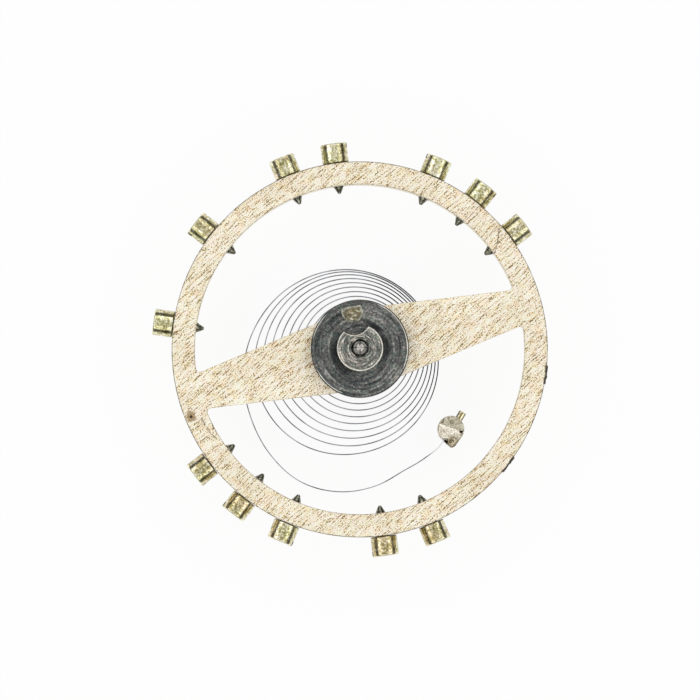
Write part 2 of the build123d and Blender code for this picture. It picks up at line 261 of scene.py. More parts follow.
# Worked out from the sizes above
table_top = roller_low.z + table_thickness
spring_level = (spring_low.z + spring_high.z) / 2
strip_height = spring_high.z - spring_low.z
pin_hole_radius = math.hypot(strip_height / 2, pinning_offset + strip_thickness / 2) + strip_clearance
pin_radius = pin_hole_radius - pin_clearance
pin_flat = pinning_offset - strip_thickness / 2 - strip_clearance
collet_hole_distance = collet_seat_radius + collet_inner_wall + pin_hole_radius
collet_strip_distance = collet_hole_distance + pinning_offset
collet_strip_half = math.sqrt(collet_radius**2 - collet_strip_distance**2)
coil_inner_radius = collet_radius + coil_first_gap
coil_pitch = (coil_outer_radius - coil_inner_radius) / coil_turns
coil_drift = (coil_outer_radius - coil_inner_radius) * coil_drift_share
collet_angle = coil_end_angle - 360 * (coil_turns - coil_first_turn)
# the stud's slanting side, its two angles in radians
stud_flat_lean = math.acos((stud_radius - stud_tip_radius) / stud_tip_distance)
stud_flat_angle = math.radians(stud_tip_angle) - stud_flat_lean
stud_flat_reach = stud_radius + stud_hole_offset * math.sin(stud_flat_angle)
stud_mouth = stud_flat_reach / math.cos(stud_flat_angle)


def way(angle):
    """Unit direction at an angle about the staff."""
    return Vector((math.cos(math.radians(angle)), math.sin(math.radians(angle)), 0))


def spin(angle):
    """Turn about +Z."""
    return Matrix.Rotation(math.radians(angle), 4, "Z")


def at_level(point, level):
    """The point moved to a level."""
    return Vector((point.x, point.y, level))


def hole_way(step):
    """Direction of one of the rim's tapped holes."""
    return way(first_screw_angle + screw_step_angle * step)


def hole_place(step, distance):
    """Point on a tapped hole's axis, at a distance from the staff."""
    return at_level(hole_way(step) * distance, screw_level)


collet_pin_place = at_level(way(collet_angle - 90) * collet_hole_distance, spring_level)
stud_place = at_level(way(stud_place_angle) * stud_place_radius, spring_level)
stud_pin_place = stud_place - way(stud_hole_angle + 90) * stud_hole_offset


# Mesh tools


def new_object(name, vertices, faces):
    """New object with this mesh, linked to the scene."""
    mesh = bpy.data.meshes.new(name)
    mesh.from_pydata([tuple(v) for v in vertices], [], faces)
    obj = bpy.data.objects.new(name, mesh)
    bpy.context.scene.collection.objects.link(obj)
    return obj


def quads(rows, count, start=0, closed_rows=False, closed=True, flipped=False):
    """Faces between neighbouring rows of vertices, each row with the same count."""
    faces = []
    for row in range(rows if closed_rows else rows - 1):
        here, beside = start + row * count, start + (row + 1) % rows * count
        for k in range(count if closed else count - 1):
            after = (k + 1) % count
            near, far = [here + k, here + after], [beside + after, beside + k]
            faces.append([near[0], far[1], far[0], near[1]] if flipped else near + far)
    return faces


def rounded(points, radius, steps=3):
    """Profile with each inner corner replaced by a small curve."""
    result = [points[0]]
    for before, here, after in zip(points, points[1:], points[2:]):
        before, here, after = Vector(before), Vector(here), Vector(after)
        back, ahead = before - here, after - here
        reach = min(radius, back.length * 0.45, ahead.length * 0.45)
        start, end = here + back.normalized() * reach, here + ahead.normalized() * reach
        for step in range(steps + 1):
            t = step / steps
            result.append(tuple(start * (1 - t) ** 2 + here * 2 * t * (1 - t) + end * t**2))
    result.append(points[-1])
    return result


def lathe(name, profile, sides=144, closed=False):
    """Turned piece about +Z: the profile's points are radius and height, material on its left."""
    vertices, faces, rings = [], [], []
    for radius, height in profile:
        count = 1 if radius < 1e-9 else sides
        rings.append([len(vertices) + k for k in range(count)])
        vertices += [way(360 * k / sides) * radius + UP * height for k in range(count)]
    pairs = list(zip(rings, rings[1:]))
    if closed:
        pairs.append((rings[-1], rings[0]))
    for low, high in pairs:
        for k in range(sides):
            quad = [ring[j % len(ring)] for ring, j in ((low, k), (low, k + 1), (high, k + 1), (high, k))]
            corners = list(dict.fromkeys(quad))
            if len(corners) > 2:
                faces.append(corners)
    return new_object(name, vertices, faces)


def rod(name, radius, low, high, sides, edge=0, steps=3):
    """Plain round piece about +Z, with its ends rounded where an edge is given."""
    profile = [(0, low), (radius, low), (radius, high), (0, high)]
    return lathe(name, rounded(profile, edge, steps) if edge else profile, sides)


def hollow(name, corners, middle, edge, sides=144):
    """Turned piece with a bore: its corners run from the outer lowest one round to the inner lowest."""
    # the rounded section starts and ends at a middle radius on its underside
    start = (middle, corners[0][1])
    return lathe(name, rounded([start, *corners, start], edge, 4)[:-1], sides, closed=True)


def ring(name, inner, outer, low, high, edge, sides=144):
    """Plain ring about +Z with rounded edges."""
    corners = [(outer, low), (outer, high), (inner, high), (inner, low)]
    return hollow(name, corners, (inner + outer) / 2, edge, sides)


def inset_outline(outline, inset):
    """Closed outline moved inwards along its corners' bisectors."""
    points = np.array(outline)
    ahead = np.roll(points, -1, axis=0) - points
    normals = np.stack([ahead[:, 1], -ahead[:, 0]], axis=1)
    normals /= np.linalg.norm(normals, axis=1)[:, None]
    before = np.roll(normals, 1, axis=0)
    bisector = (normals + before) / (1 + (normals * before).sum(axis=1))[:, None]
    return points - bisector * inset


def prism(name, outline, low, high, edge, steps=3):
    """Upright piece over an anticlockwise outline, with its top and bottom edges rounded."""
    levels = []
    for step in range(steps + 1):
        turn = math.pi / 2 * step / steps
        levels.append((edge * (1 - math.sin(turn)), low + edge * (1 - math.cos(turn))))
    levels += [(inset, low + high - level) for inset, level in reversed(levels)]
    count = len(outline)
    vertices = []
    for inset, level in levels:
        vertices += [(x, y, level) for x, y in inset_outline(outline, inset)]
    top = [(len(levels) - 1) * count + k for k in range(count)]
    return new_object(name, vertices, [list(range(count))[::-1], *quads(len(levels), count), top])


def arc(centre, radius, first, last, steps):
    """Points of an arc, both ends included, as (x, y)."""
    turns = [math.radians(first + (last - first) * k / steps) for k in range(steps + 1)]
    return [(centre[0] + radius * math.cos(t), centre[1] + radius * math.sin(t)) for t in turns]


def joined(name, parts):
    """One object out of several, which are removed."""
    vertices, faces = [], []
    for part in parts:
        start = len(vertices)
        vertices += [part.matrix_world @ v.co for v in part.data.vertices]
        faces += [[start + k for k in polygon.vertices] for polygon in part.data.polygons]
        bpy.data.objects.remove(part)
    return new_object(name, vertices, faces)


def with_modifier(obj, kind, **settings):
    """Applies one modifier to the object's mesh."""
    modifier = obj.modifiers.new(kind.lower(), kind)
    for key, value in settings.items():
        setattr(modifier, key, value)
    bpy.context.view_layer.update()
    changed = bpy.data.meshes.new_from_object(obj.evaluated_get(bpy.context.evaluated_depsgraph_get()))
    obj.modifiers.clear()
    obj.data = changed
    return obj


def cut(obj, cutter, operation="DIFFERENCE"):
    """Cuts one piece with another, or unites them, and removes the cutter."""
    with_modifier(obj, "BOOLEAN", object=cutter, operation=operation, solver="EXACT")
    bpy.data.objects.remove(cutter)
    return obj


def turned(obj, axis, place, side=UP):
    """Brings a piece made about +Z to a place, with +Z along the axis and +Y along the side."""
    z = axis.normalized()
    y = (side - z * side.dot(z)).normalized()
    x = y.cross(z)
    obj.data.transform(Matrix.Translation(place) @ Matrix((x, y, z)).transposed().to_4x4())
    return obj


def at_hole(obj, step, distance):
    """Brings a piece made about +Z to a tapped hole, pointing outwards."""
    return turned(obj, hole_way(step), hole_place(step, distance))


def box(name, low, high):
    """Plain cutter with these lowest and highest corners."""
    around = ((low[0], low[1]), (high[0], low[1]), (high[0], high[1]), (low[0], high[1]))
    corners = [(x, y, z) for z in (low[2], high[2]) for x, y in around]
    return new_object(name, corners, [[3, 2, 1, 0], [4, 5, 6, 7], *quads(2, 4)])


def dress(obj, material, sharp_angle):
    """Smooth shading with sharp edges above an angle, and the material."""
    obj.data.shade_smooth()
    obj.data.set_sharp_from_angle(angle=math.radians(sharp_angle))
    obj.data.materials.clear()
    obj.data.materials.append(material)


def place_piece(obj, material, node, sharp_angle=35, body="balance"):
    """Brings the finished piece to metres, gives it its material and body, and hides its CAD node."""
    obj.data.transform(Matrix.Scale(MM, 4))
    dress(obj, material, sharp_angle)
    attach(obj, body)
    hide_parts(node)


# Material tools


class Nodes:
    """A node tree under construction: nodes are added with their inputs as values or sockets."""

    def __init__(self, owner):
        owner.use_nodes = True
        self.tree = owner.node_tree
        self.tree.nodes.clear()

    def add(self, kind, inputs=None, **settings):
        node = self.tree.nodes.new(kind)
        for key, value in settings.items():
            setattr(node, key, value)
        for key, value in (inputs or {}).items():
            if isinstance(value, bpy.types.NodeSocket):
                self.tree.links.new(value, node.inputs[key])
            else:
                node.inputs[key].default_value = value
        return node

    def axis(self, vector, name):
        return self.add("ShaderNodeSeparateXYZ", {"Vector": vector}).outputs[name]

    def math(self, operation, a, b=0.0, clamp=False):
        return self.add("ShaderNodeMath", {0: a, 1: b}, operation=operation, use_clamp=clamp).outputs["Value"]

    def ramp(self, value, *stops):
        node = self.add("ShaderNodeValToRGB", {"Fac": value})
        elements = node.color_ramp.elements
        while len(elements) < len(stops):
            elements.new(0.5)
        for element, (place, colour) in zip(elements, stops):
            element.position = place
            element.color = (*colour, 1)
        return node.outputs["Color"]


class Shader(Nodes):
    """A material: its colour is built up in layers from the place on the piece in millimetres."""

    def __init__(self, name):
        self.material = bpy.data.materials.new(name)
        super().__init__(self.material)
        self.colour = None
        self.mm = self.mapped(self.add("ShaderNodeTexCoord").outputs["Object"], (1 / MM,) * 3)
        self.flat = self.vector_math("MULTIPLY", self.mm, (1, 1, 0))
        self.outwards = self.vector_math("NORMALIZE", self.flat)
        self.radius = self.vector_math("LENGTH", self.flat)
        self.height = self.axis(self.mm, "Z")
        facing = self.add("ShaderNodeNewGeometry").outputs["Normal"]
        self.level = self.math("ABSOLUTE", self.axis(facing, "Z"))

    def mapped(self, vector, scale=(1, 1, 1), turn=0):
        inputs = {"Vector": vector, "Scale": scale, "Rotation": (0, 0, math.radians(turn))}
        return self.add("ShaderNodeMapping", inputs).outputs["Vector"]

    def noise(self, scale, detail=4, roughness=0.55, distortion=0, at=None):
        inputs = {"Vector": at or self.mm, "Scale": scale, "Detail": detail, "Roughness": roughness}
        return self.add("ShaderNodeTexNoise", {**inputs, "Distortion": distortion}).outputs["Fac"]

    def vector_math(self, operation, a, b=(0, 0, 0)):
        output = "Value" if operation in ("LENGTH", "DISTANCE", "DOT_PRODUCT") else "Vector"
        return self.add("ShaderNodeVectorMath", {0: a, 1: b}, operation=operation).outputs[output]

    def distance(self, place, start=None):
        return self.vector_math("DISTANCE", start or self.mm, place)

    def towards(self, angle):
        """Cosine between a direction and the way outwards from the staff."""
        return self.vector_math("DOT_PRODUCT", self.outwards, way(angle))

    def scaled(self, vector, share):
        inputs = {0: vector, "Scale": share}
        return self.add("ShaderNodeVectorMath", inputs, operation="SCALE").outputs["Vector"]

    def step(self, value, low, high, out_low=0.0, out_high=1.0):
        inputs = {"Value": value, "From Min": low, "From Max": high, "To Min": out_low, "To Max": out_high}
        return self.add("ShaderNodeMapRange", inputs, interpolation_type="SMOOTHSTEP").outputs["Result"]

    def band(self, value, low, high, soft):
        """Mask of the values between two limits, with soft ends."""
        return self.both(self.step(value, low - soft, low), self.step(value, high + soft, high))

    def both(self, *masks):
        """Product of several masks."""
        result = masks[0]
        for mask in masks[1:]:
            result = self.math("MULTIPLY", result, mask)
        return result

    def blended(self, *parts):
        """Sum of values, each given with its weight."""
        result = None
        for value, weight in parts:
            part = self.math("MULTIPLY", value, weight)
            result = self.math("ADD", result, part) if result else part
        return result

    def uneven(self, value, width):
        """Noise brought to both sides of zero, this wide."""
        return self.math("MULTIPLY", self.math("SUBTRACT", value, 0.5), width)

    def from_axes(self, operation, vector):
        """Larger or smaller of the distances from the photo's two axes."""
        seen = self.mapped(vector, turn=photo_turn)
        return self.math(operation, *(self.math("ABSOLUTE", self.axis(seen, name)) for name in "XY"))

    def mix(self, share, a, b, blend="MIX"):
        colours = [c if isinstance(c, bpy.types.NodeSocket) else (*c, 1) for c in (a, b)]
        inputs = {0: share, 6: colours[0], 7: colours[1]}
        return self.add("ShaderNodeMix", inputs, data_type="RGBA", blend_type=blend).outputs[2]

    def lay(self, other, *masks):
        """Lays another colour over the colour so far, where all masks meet."""
        self.colour = self.mix(self.both(*masks), self.colour, other)

    def times(self, shade):
        """The colour so far, multiplied."""
        return self.mix(1.0, self.colour, shade, "MULTIPLY")

    def tint(self, value, first, last, reach=0.12):
        """Gives the colour one tint below the middle of the noise and another above."""
        shade = self.ramp(value, (0.5 - reach, first), (0.5, (1, 1, 1)), (0.5 + reach, last))
        self.colour = self.times(shade)

    def bump(self, height, depth, below=None):
        inputs = {"Height": height, "Strength": 1.0, "Distance": depth * MM}
        if below:
            inputs["Normal"] = below
        return self.add("ShaderNodeBump", inputs).outputs["Normal"]

    def turned_lines(self, along, per_mm):
        """Noise in fine lines round the staff, spaced along its radius or height."""
        lift = self.add("ShaderNodeCombineXYZ", {"Z": self.math("MULTIPLY", along, per_mm)}).outputs["Vector"]
        return self.noise(1, 4, 0.6, at=self.vector_math("ADD", self.scaled(self.outwards, 1.1), lift))

    def scratch(self, start, end, width):
        """Mask of a thin line between two points in the plane of the wheel."""
        start, end = Vector((*start, 0)), Vector((*end, 0))
        along = end - start
        from_start = self.vector_math("SUBTRACT", self.flat, start)
        share = self.vector_math("DOT_PRODUCT", from_start, along / along.length_squared)
        nearest = self.scaled(along, self.math("ADD", share, 0.0, clamp=True))
        wander = self.uneven(self.noise(14, 3), width * 2.2)
        return self.step(self.math("ADD", self.distance(nearest, from_start), wander), width, width * 0.3)

    def glow(self):
        return self.add("ShaderNodeEmission", {"Color": (1, 1, 1, 1), "Strength": 1.0}).outputs["Emission"]

    def metal(self, roughness, normal):
        return self.surface(normal, {"Roughness": roughness, "Metallic": 1.0})

    def surface(self, normal, inputs):
        inputs = {"Base Color": self.colour, "Normal": normal, **inputs}
        return self.finish(self.add("ShaderNodeBsdfPrincipled", inputs).outputs["BSDF"])

    def finish(self, socket):
        self.add("ShaderNodeOutputMaterial", {"Surface": socket})
        return self.material


# Materials


def wheel_brass():
    """Pale brass with straight diagonal grain, stains and a few dark scratches, with painted shade along the
    rim's top edges and a painted highlight on its inner wall.
    """
    s = Shader("wheel_brass")
    grain_angle = 27.5
    dark = (0.16, 0.13, 0.08)
    along = s.mapped(s.mm, turn=-grain_angle)
    fine = s.noise(1, 1, 0.6, at=s.mapped(along, (2.4, 25, 25)))
    finest = s.noise(1, 0, at=s.mapped(along, (4.5, 36, 36)))
    broad = s.noise(1, 2, 0.5, at=s.mapped(along, (1, 7, 7)))
    speckle = s.noise(31, 1, 0.5)
    patches = s.noise(5, 3)
    streaks = s.blended((fine, 0.22), (finest, 0.25), (speckle, 0.48), (broad, 0.05))
    s.colour = s.ramp(
        streaks,
        (0.395, (0.27, 0.2, 0.11)),
        (0.436, (0.62, 0.51, 0.32)),
        (0.47, (0.93, 0.795, 0.56)),
        (0.503, (1.0, 0.955, 0.82)),
        (0.536, (1.0, 0.99, 0.9)),
    )
    s.tint(patches, (0.99, 0.97, 0.95), (1.0, 0.94, 0.85))
    s.tint(s.noise(8, 2), (1.0, 0.955, 0.945), (0.99, 0.99, 0.93), 0.1)
    s.colour = s.times(s.ramp(s.noise(0.7, 2), (0.42, (0.95, 0.94, 0.91)), (0.54, (1, 1, 1))))

    side_lines = s.turned_lines(s.height, 42)
    side_stops = (0.36, (0.56, 0.46, 0.29)), (0.5, (0.84, 0.75, 0.55)), (0.64, (0.95, 0.9, 0.74))
    # painted highlight: the rim's inner wall is painted paler than the outer side, half way to pale cream
    inner_wall = s.step(s.radius, rim_inner_radius + 0.03, rim_inner_radius + 0.01)
    side_colour = s.mix(s.both(inner_wall, 0.5), s.ramp(side_lines, *side_stops), (1.0, 0.97, 0.88))
    sides = s.step(s.level, 0.45, 0.15)
    s.lay(side_colour, sides)
    s.lay(dark, s.step(s.noise(17, 2), 0.7, 0.76), 0.75)

    stain_place = (-4.407, -0.545, wheel_high.z)
    stain_radius = 0.17
    distance = s.distance(stain_place)
    spread = s.math("ADD", distance, s.uneven(s.noise(9, 3), stain_radius * 1.6))
    s.lay((0.32, 0.19, 0.07), s.step(spread, stain_radius, stain_radius * 0.55), 0.75)
    s.lay((0.06, 0.045, 0.03), s.step(distance, stain_radius * 0.3, stain_radius * 0.12))

    scratches = (
        ((4.05, 1.98), (3.95, 1.71), 0.024),
        ((3.95, 1.71), (3.8, 1.44), 0.022),
        ((3.95, 1.71), (4.01, 1.62), 0.016),
        ((-4.17, -0.64), (-4.13, -0.82), 0.024),
        ((-4.1, -0.88), (-4.07, -1.02), 0.02),
        ((-3.96, -0.72), (-3.95, -0.98), 0.018),
        ((-4.02, -1.1), (-3.94, -1.22), 0.02),
    )
    for start, end, width in scratches:
        s.lay(dark, s.scratch(start, end, width), 0.75)

    near_top = s.step(s.height, wheel_high.z - 0.06, wheel_high.z - 0.025)
    broken = s.step(patches, 0.38, 0.58, 0.45, 1.0)
    # painted shade: thin dark lines along the rim's outer and inner top edges, broken up by the patches
    outer_line = s.step(s.radius, rim_radius - 0.028, rim_radius - 0.012)
    inner_line = s.band(s.radius, rim_inner_radius - 0.01, rim_inner_radius + 0.014, 0.012)
    from_middle = s.math("ABSOLUTE", s.axis(s.mm, "Y"))
    beside_arms = s.step(from_middle, arm_half_width_at_rim, arm_half_width_at_rim + 0.08)
    s.lay((0.1, 0.09, 0.065), outer_line, near_top, broken, 0.85)
    s.lay((0.24, 0.18, 0.12), inner_line, near_top, broken, beside_arms, 0.4)
    on_burr = s.step(s.radius, rim_radius - 0.006, rim_radius + 0.004)
    ragged_radius = s.math("ADD", s.radius, s.uneven(patches, 0.12))
    over_edge = s.step(ragged_radius, rim_radius - 0.046, rim_radius - 0.026)
    for step in empty_hole_steps:
        mouth = hole_place(step, rim_radius + burr_reach / 2)
        on_side = s.step(s.distance(mouth), 0.29, 0.24)
        s.lay((0.035, 0.03, 0.022), on_side, on_burr, 0.92)
        over_mouth = s.step(s.distance(at_level(mouth, wheel_high.z)), 0.28, 0.22)
        s.lay((0.06, 0.05, 0.035), over_mouth, over_edge, 0.85)

    normal = s.bump(streaks, 0.008, s.bump(s.both(side_lines, sides), 0.006))
    return s.metal(s.step(streaks, 0.37, 0.58, 0.6, 0.48), normal)


def screw_brass():
    """Yellow brass of the balance screws, turned, with olive tarnish, darker below the head's seat, and a
    painted highlight at the head's outer end.
    """
    s = Shader("screw_brass")
    # height along the screw: the head's seat is at 0, and the thread runs down from there to the point
    place = s.add("ShaderNodeAttribute", attribute_name="screw_place").outputs["Vector"]
    height = s.axis(place, "Z")
    speckle = s.noise(21, 4, 0.7, at=place)
    tone = s.blended((speckle, 0.7), (s.noise(5, 3, at=place), 0.3))
    s.colour = s.ramp(
        tone,
        (0.37, (0.2, 0.17, 0.07)),
        (0.45, (0.38, 0.34, 0.16)),
        (0.52, (0.69, 0.62, 0.38)),
        (0.58, (1.0, 0.97, 0.85)),
    )
    s.tint(s.noise(1.6, 1, at=place), (0.96, 1.0, 0.88), (1.0, 0.92, 0.84))
    # painted highlight: the head's outer end is paler
    outer_end = s.step(height, screw_head_length - 0.07, screw_head_length - 0.01)
    s.lay((0.95, 0.91, 0.68), outer_end, 0.55)
    # darker below the head's seat and down the first part of the thread
    below_head, above_thread = s.step(height, 0.045, 0.005), s.step(height, -0.3, -0.2)
    s.lay((0.09, 0.065, 0.035), below_head, above_thread, 0.85)
    point_colour = s.ramp(speckle, (0.44, (0.05, 0.05, 0.035)), (0.62, (0.42, 0.41, 0.31)))
    s.lay(point_colour, s.step(height, -0.48, -0.54))
    lines = s.noise(1, 2, at=s.mapped(place, (0.6, 0.6, 55)))
    return s.metal(s.step(tone, 0.38, 0.62, 0.16, 0.08), s.bump(speckle, 0.003, s.bump(lines, 0.0015)))


def roller_steel():
    """Dark turned steel of the double roller: rings and speckle, painted highlights along the edges, dirt
    with painted shade in the corner beside the safety roller, and painted shade round the bore.
    """
    s = Shader("roller_steel")
    rings = s.turned_lines(s.radius, 15)
    speckle = s.noise(21, 3, 0.7)
    patches = s.noise(3.2, 3)
    tone = s.blended((rings, 0.45), (speckle, 0.42), (patches, 0.13))
    s.colour = s.ramp(
        tone,
        (0.38, (0.021, 0.024, 0.025)),
        (0.47, (0.092, 0.099, 0.098)),
        (0.54, (0.18, 0.181, 0.17)),
        (0.62, (0.5, 0.49, 0.45)),
    )
    on_safety = s.step(s.height, table_top + 0.1, table_top + 0.15)
    off_safety = s.math("SUBTRACT", 1.0, on_safety)
    ring_stops = (0.42, (1.05, 1.02, 0.97)), (0.5, (2.0, 1.92, 1.82)), (0.58, (3.3, 3.15, 2.9))
    ring_shade = s.ramp(s.turned_lines(s.radius, 26), *ring_stops)
    s.lay(s.times(ring_shade), on_safety)
    s.tint(s.noise(7, 2), (0.9, 1.0, 0.97), (1.0, 0.94, 0.95))
    rust = s.step(s.noise(6, 4, 0.65), 0.62, 0.7)
    s.lay((0.2, 0.17, 0.11), rust, 0.5)

    # dirt and painted shade in the corner beside the safety roller, strongest along one direction
    along_dirt_and_shade = s.math("ABSOLUTE", s.towards(dirt_and_shade_angle))
    beside_safety = s.band(s.radius, safety_radius, safety_radius + 0.12, 0.08)
    spread = s.step(along_dirt_and_shade, 0.45, 0.9), s.step(patches, 0.3, 0.55)
    s.lay((0.02, 0.02, 0.022), beside_safety, off_safety, *spread, 0.85)

    # painted highlights: thin bright lines along the edges of the safety roller, the crescent, the table and
    # the recess, made patchy by noise; on the table only on the lit arcs
    patchy = s.step(s.noise(2.4, 4, 0.7), 0.42, 0.6, 0.12, 1.0)
    lit = 0.0
    for angle, begins, full, strength in table_line_arcs:
        towards = s.towards(angle)
        lit = s.math("MAXIMUM", lit, s.both(s.step(towards, begins, full), strength))
    top_edge = s.step(s.height, roller_high.z - 0.045, roller_high.z - 0.01)
    table_edge = s.band(s.height, table_top - 0.045, table_top + 0.01, 0.01)
    from_crescent = s.distance(way(roller_angle) * crescent_distance, s.flat)
    edges = (
        (s.band(s.radius, safety_radius - 0.026, safety_radius - 0.006, 0.01), top_edge),
        (s.band(from_crescent, crescent_radius + 0.006, crescent_radius + 0.022, 0.01), top_edge),
        (s.band(s.radius, table_radius - 0.044, table_radius - 0.032, 0.006), table_edge, lit, off_safety),
        (s.band(s.radius, recess_radius - 0.01, recess_radius + 0.014, 0.01), on_safety, patchy, 0.8),
    )
    shine = s.step(patchy, 0, 1, 0.6, 1.0)
    for masks in edges:
        s.lay((0.98, 0.94, 0.84), *masks, shine)

    # painted shade: a dark ring round the bore in the safety roller's recess, thicker along two axes and
    # broken by the speckle
    along_axes = s.step(s.from_axes("MAXIMUM", s.outwards), 0.74, 0.92, 0.5, 1.0)
    broken = s.both(s.step(speckle, 0.38, 0.55, 0.55, 1.0), along_axes)
    seat = s.step(s.radius, roller_seat_radius + 0.03, roller_seat_radius + 0.005)
    s.lay((0.012, 0.012, 0.012), seat, on_safety, broken)
    oil_ring = s.band(s.radius, oil_ring_radius - 0.004, oil_ring_radius + 0.004, 0.01)
    s.lay((0.02, 0.02, 0.02), oil_ring, on_safety, patchy, 0.6)
    normal = s.bump(speckle, 0.004, s.bump(rings, 0.01))
    return s.metal(s.step(tone, 0.38, 0.6, 0.42, 0.28), normal)


def staff_steel():
    """Polished steel of the staff, with fine turning lines, a painted reflection on the dial pivot's root,
    and old oil with painted shade round the dial arbor's foot.
    """
    s = Shader("staff_steel")
    lines = s.noise(1, 3, at=s.mapped(s.mm, (0.8, 0.8, 40)))
    speckle = s.noise(30, 3)
    s.colour = s.ramp(speckle, (0.38, (0.36, 0.35, 0.34)), (0.62, (0.72, 0.7, 0.67)))
    root_high = staff_high.z - pivot_length
    # painted reflection: the dial pivot's root is painted near white, crossed by two dark lines
    on_root = s.band(s.height, root_high - pivot_root - 0.02, root_high, 0.01)
    wander = s.uneven(s.noise(20, 2), 0.05)
    cross = s.step(s.math("ADD", s.from_axes("MINIMUM", s.mm), wander), 0.022, 0.006)
    s.lay((0.97, 0.93, 0.88), on_root)
    s.lay((0.05, 0.045, 0.04), cross, on_root, 0.85)
    # old oil and painted shade: dark on the dial arbor's foot just above the roller
    outside = s.step(s.radius, dial_arbor_radius - 0.006, dial_arbor_radius + 0.004)
    on_arbor = s.step(s.height, roller_high.z - 0.1, roller_high.z - 0.07)
    oil_and_shade = s.step(s.noise(12, 2), 0.36, 0.5, 0.45, 1.0)
    s.lay((0.012, 0.012, 0.012), outside, on_arbor, oil_and_shade)
    return s.metal(s.step(speckle, 0.4, 0.6, 0.14, 0.24), s.bump(lines, 0.002))


def jewel_ruby():
    """Amber-brown synthetic ruby, cloudy, with bright spots of painted highlight."""
    s = Shader("jewel_ruby")
    cloud = s.noise(11, 4, 0.7, 0.6)
    # the top stop paints bright highlight spots into the cloud
    s.colour = s.ramp(
        cloud,
        (0.36, (0.022, 0.016, 0.002)),
        (0.48, (0.105, 0.078, 0.008)),
        (0.57, (0.24, 0.185, 0.035)),
        (0.66, (0.98, 0.95, 0.8)),
    )
    return s.surface(s.bump(cloud, 0.03), {"Roughness": 0.12, "IOR": 1.77, "Transmission Weight": 0.25})


def pale_shellac():
    """Thin old shellac: pale, cloudy and glossy."""
    s = Shader("pale_shellac")
    cloud = s.noise(12, 4, 0.6)
    s.colour = s.ramp(cloud, (0.36, (0.3, 0.29, 0.19)), (0.48, (0.68, 0.67, 0.52)), (0.6, (0.96, 0.95, 0.84)))
    glossy = {"Roughness": 0.25, "IOR": 1.52, "Transmission Weight": 0.15, "Coat Weight": 0.5}
    return s.surface(s.bump(cloud, 0.012), glossy)


def collet_brass():
    """Turned brass of the collet, with painted shade on the sides."""
    s = Shader("collet_brass")
    speckle = s.noise(22, 4, 0.65)
    tone = s.blended((s.turned_lines(s.radius, 24), 0.5), (speckle, 0.5))
    s.colour = s.ramp(tone, (0.36, (0.36, 0.29, 0.14)), (0.5, (0.66, 0.56, 0.32)), (0.64, (0.9, 0.83, 0.6)))
    # painted shade: faces that point sideways are darker
    sides = s.step(s.math("ADD", s.level, s.math("MULTIPLY", speckle, 0.2)), 0.72, 0.5)
    s.lay((0.26, 0.2, 0.1), sides, 0.7)
    return s.metal(0.26, s.bump(tone, 0.006))


def pin_brass():
    """Brass of the two pins, coloured by the way each face points: painted highlights along the flanks, brown
    on top and painted shade at the sides.
    """
    s = Shader("pin_brass")
    speckle = s.noise(16, 3, 0.6)
    # painted light: the colour follows the way each face points, dark at the sides, bright on the flanks and
    # brown on top
    s.colour = s.ramp(
        s.math("ADD", s.level, s.uneven(speckle, 0.2)),
        (0.58, (0.045, 0.03, 0.012)),
        (0.7, (0.92, 0.84, 0.58)),
        (0.9, (0.98, 0.92, 0.68)),
        (0.97, (0.3, 0.24, 0.1)),
    )
    return s.metal(0.28, s.bump(speckle, 0.004))


def spring_steel():
    """Steel strip of the hairspring: darker towards one side with blueing and painted shade, paler on the
    other, and paler still towards the stud with a painted highlight.
    """
    s = Shader("spring_steel")
    cloud = s.noise(1.3, 3)
    s.colour = s.ramp(cloud, (0.36, (0.12, 0.125, 0.14)), (0.62, (0.46, 0.47, 0.5)))
    blued_and_shaded = s.ramp(cloud, (0.35, (0.012, 0.013, 0.017)), (0.65, (0.045, 0.05, 0.06)))
    # blueing and painted shade: darker towards +X
    s.lay(blued_and_shaded, s.step(s.axis(s.mm, "X"), 0.2, 1.6))
    # painted highlight: paler near the stud
    to_stud = s.distance(stud_place)
    s.lay((0.76, 0.76, 0.76), s.step(to_stud, 0.95, 0.62))
    return s.metal(0.45, s.bump(s.noise(60, 2), 0.0008))


